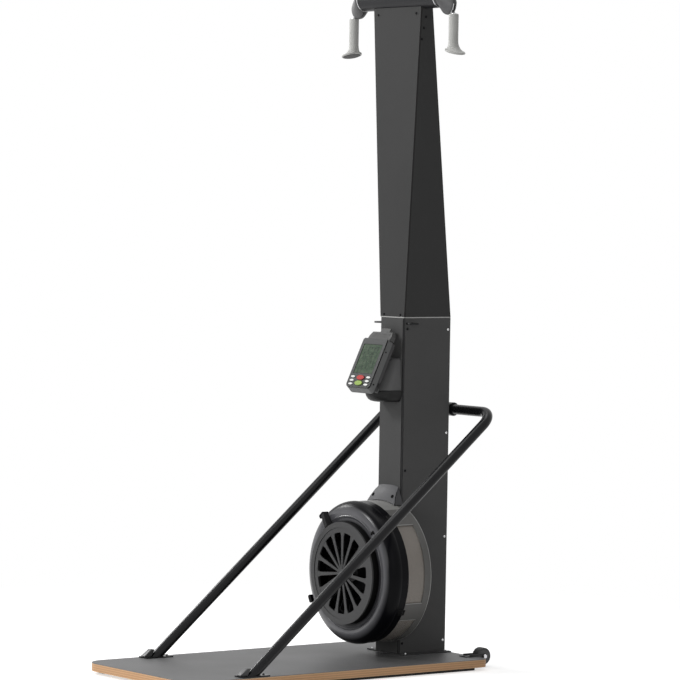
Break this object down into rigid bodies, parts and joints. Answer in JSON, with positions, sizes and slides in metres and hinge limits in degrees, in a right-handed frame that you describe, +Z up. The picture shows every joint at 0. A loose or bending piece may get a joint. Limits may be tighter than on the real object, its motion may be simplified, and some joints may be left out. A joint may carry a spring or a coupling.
{
  "type": "ski trainer machine",
  "caption": "Standing ski trainer: wooden deck, tapered column, air-brake fan, swivelling pulley heads with two pull handles, side rails and a tilting display.",
  "frame": {"origin": "middle of the machine's footprint, on the floor", "axes": "+X the user's right, +Y from the user towards the column, +Z up"},
  "size_m": [0.6196, 1.244, 2.226],
  "materials": {
    "plywood": "satin",
    "deck_sheet": "matte",
    "black_rubber": "matte",
    "column_paint": "satin",
    "frame_paint": "satin",
    "bar_paint": "satin",
    "rail_paint": "satin",
    "bright_metal": "satin",
    "dark_screw": "satin",
    "steel": "satin",
    "fan_paint": "satin",
    "fan_gloss": "gloss",
    "fan_mesh": "satin",
    "grille_grey": "satin",
    "wheel_metal": "satin",
    "pulley_plastic": "satin",
    "head_frame": "satin",
    "head_grey": "satin",
    "grip_rubber": "satin",
    "cord": "matte",
    "elastic": "matte",
    "case_plastic": "satin",
    "holder_plastic": "satin",
    "screen": "gloss",
    "red_key": "satin",
    "green_key": "satin",
    "white_key": "satin"
  },
  "bodies": {
    "base": {"deck_board": "plywood", "deck_mat": "deck_sheet", "deck_feet": "black_rubber", "column_frame": "frame_paint", "lower_front_panel": "column_paint", "lower_side_left": "column_paint", "lower_side_right": "column_paint", "lower_rear_panel": "column_paint", "upper_front_panel": "column_paint", "upper_channel": "column_paint", "seam_trim": "bright_metal", "dark_screws": "dark_screw", "bright_fasteners": "steel", "handle_hooks": "rail_paint", "crossbar_tube": "bar_paint", "bar_rings": "bright_metal", "console_mount": "case_plastic", "rail_left": "rail_paint", "rail_right": "rail_paint", "rail_fittings": "rail_paint", "fan_rear_shell": "fan_paint", "fan_front_shell": "fan_gloss", "fan_mesh": "fan_mesh", "fan_grille": "grille_grey", "fan_cowl": "column_paint", "shaft_bearings": "steel", "wheel_brackets": "frame_paint", "inner_cords": "cord", "return_elastics": "elastic"},
    "flywheel": {"flywheel": "wheel_metal", "drive_shaft": "steel"},
    "drum_left": {"drum_left": "pulley_plastic"},
    "drum_right": {"drum_right": "pulley_plastic"},
    "idler_left": {"idler_left": "pulley_plastic"},
    "idler_right": {"idler_right": "pulley_plastic"},
    "head_left": {"head_frame_left": "head_frame", "head_shell_left": "head_grey", "cord_drop_left": "cord"},
    "head_right": {"head_frame_right": "head_frame", "head_shell_right": "head_grey", "cord_drop_right": "cord"},
    "pulley_left": {"head_pulley_left": "pulley_plastic"},
    "pulley_right": {"head_pulley_right": "pulley_plastic"},
    "handle_left": {"grip_left": "grip_rubber"},
    "handle_right": {"grip_right": "grip_rubber"},
    "damper": {"damper_ring": "fan_paint"},
    "display": {"console_front_case": "case_plastic", "console_rear_case": "case_plastic", "device_holder": "holder_plastic", "console_lens": "screen"},
    "red_button": {"red_button": "red_key"},
    "green_button": {"green_button": "green_key"},
    "wheel_left": {"wheel_left": "black_rubber"},
    "wheel_right": {"wheel_right": "black_rubber"},
    "key_left_1": {"key_left_1": "white_key"},
    "key_left_2": {"key_left_2": "white_key"},
    "key_left_3": {"key_left_3": "white_key"},
    "key_right_1": {"key_right_1": "white_key"},
    "key_right_2": {"key_right_2": "white_key"},
    "key_right_3": {"key_right_3": "white_key"}
  },
  "joints": [
    {"name": "flywheel_spin", "type": "hinge", "parent": "base", "child": "flywheel", "pos_m": [0, 0.4, 0.308], "axis": [0, 1, 0], "continuous": true},
    {"name": "head_left_swivel", "type": "hinge", "parent": "base", "child": "head_left", "pos_m": [-0.239, 0.392, 2.187], "axis": [1, 0, 0], "range_deg": [-60, 20]},
    {"name": "handle_left_pull", "type": "slide", "parent": "head_left", "child": "handle_left", "axis": [0, 0, -1], "range_m": [0, 1.15], "stiffness_N_per_m": 12, "springref_m": -1, "deforming": ["cord_drop_left"]},
    {"name": "pulley_left_turn", "type": "hinge", "parent": "head_left", "child": "pulley_left", "pos_m": [-0.239, 0.392, 2.159], "axis": [0, -1, 0], "range_deg": [0, 2400]},
    {"name": "idler_left_turn", "type": "hinge", "parent": "base", "child": "idler_left", "pos_m": [-0.008, 0.386, 2.159], "axis": [0, -1, 0], "range_deg": [0, 2400]},
    {"name": "drum_left_turn", "type": "hinge", "parent": "base", "child": "drum_left", "pos_m": [0, 0.443, 0.308], "axis": [0, -1, 0], "range_deg": [0, 3400]},
    {"name": "wheel_left_roll", "type": "hinge", "parent": "base", "child": "wheel_left", "pos_m": [-0.217, 0.594, 0.036], "axis": [1, 0, 0], "continuous": true},
    {"name": "head_right_swivel", "type": "hinge", "parent": "base", "child": "head_right", "pos_m": [0.239, 0.392, 2.187], "axis": [1, 0, 0], "range_deg": [-60, 20]},
    {"name": "handle_right_pull", "type": "slide", "parent": "head_right", "child": "handle_right", "axis": [0, 0, -1], "range_m": [0, 1.15], "stiffness_N_per_m": 12, "springref_m": -1, "deforming": ["cord_drop_right"]},
    {"name": "pulley_right_turn", "type": "hinge", "parent": "head_right", "child": "pulley_right", "pos_m": [0.239, 0.392, 2.159], "axis": [0, 1, 0], "range_deg": [0, 2400]},
    {"name": "idler_right_turn", "type": "hinge", "parent": "base", "child": "idler_right", "pos_m": [0.048, 0.398, 2.159], "axis": [0, 1, 0], "range_deg": [0, 2400]},
    {"name": "drum_right_turn", "type": "hinge", "parent": "base", "child": "drum_right", "pos_m": [0, 0.491, 0.308], "axis": [0, -1, 0], "range_deg": [0, 3400]},
    {"name": "wheel_right_roll", "type": "hinge", "parent": "base", "child": "wheel_right", "pos_m": [0.217, 0.594, 0.036], "axis": [1, 0, 0], "continuous": true},
    {"name": "damper_turn", "type": "hinge", "parent": "base", "child": "damper", "pos_m": [0, 0.19, 0.308], "axis": [0, 1, 0], "range_deg": [-20, 50]},
    {"name": "display_tilt", "type": "hinge", "parent": "base", "child": "display", "pos_m": [0, 0.26617, 0.90969], "axis": [1, 0, 0], "range_deg": [-3, 25]},
    {"name": "red_button_press", "type": "slide", "parent": "display", "child": "red_button", "axis": [0, 0.9048, -0.4258], "range_m": [0, 0.0012], "stiffness_N_per_m": 1500, "springref_m": -0.0004},
    {"name": "green_button_press", "type": "slide", "parent": "display", "child": "green_button", "axis": [0, 0.9048, -0.4258], "range_m": [0, 0.0012], "stiffness_N_per_m": 1500, "springref_m": -0.0004},
    {"name": "key_left_1_press", "type": "slide", "parent": "display", "child": "key_left_1", "axis": [0, 0.9048, -0.4258], "range_m": [0, 0.0012], "stiffness_N_per_m": 1500, "springref_m": -0.0004},
    {"name": "key_left_2_press", "type": "slide", "parent": "display", "child": "key_left_2", "axis": [0, 0.9048, -0.4258], "range_m": [0, 0.0012], "stiffness_N_per_m": 1500, "springref_m": -0.0004},
    {"name": "key_left_3_press", "type": "slide", "parent": "display", "child": "key_left_3", "axis": [0, 0.9048, -0.4258], "range_m": [0, 0.0012], "stiffness_N_per_m": 1500, "springref_m": -0.0004},
    {"name": "key_right_1_press", "type": "slide", "parent": "display", "child": "key_right_1", "axis": [0, 0.9048, -0.4258], "range_m": [0, 0.0012], "stiffness_N_per_m": 1500, "springref_m": -0.0004},
    {"name": "key_right_2_press", "type": "slide", "parent": "display", "child": "key_right_2", "axis": [0, 0.9048, -0.4258], "range_m": [0, 0.0012], "stiffness_N_per_m": 1500, "springref_m": -0.0004},
    {"name": "key_right_3_press", "type": "slide", "parent": "display", "child": "key_right_3", "axis": [0, 0.9048, -0.4258], "range_m": [0, 0.0012], "stiffness_N_per_m": 1500, "springref_m": -0.0004}
  ],
  "couplings": [
    {"joint": "pulley_left_turn", "follows": "handle_left_pull", "rad_per_m": 35.714},
    {"joint": "idler_left_turn", "follows": "handle_left_pull", "rad_per_m": 35.714},
    {"joint": "drum_left_turn", "follows": "handle_left_pull", "rad_per_m": 50},
    {"joint": "pulley_right_turn", "follows": "handle_right_pull", "rad_per_m": 35.714},
    {"joint": "idler_right_turn", "follows": "handle_right_pull", "rad_per_m": 35.714},
    {"joint": "drum_right_turn", "follows": "handle_right_pull", "rad_per_m": 50}
  ]
}
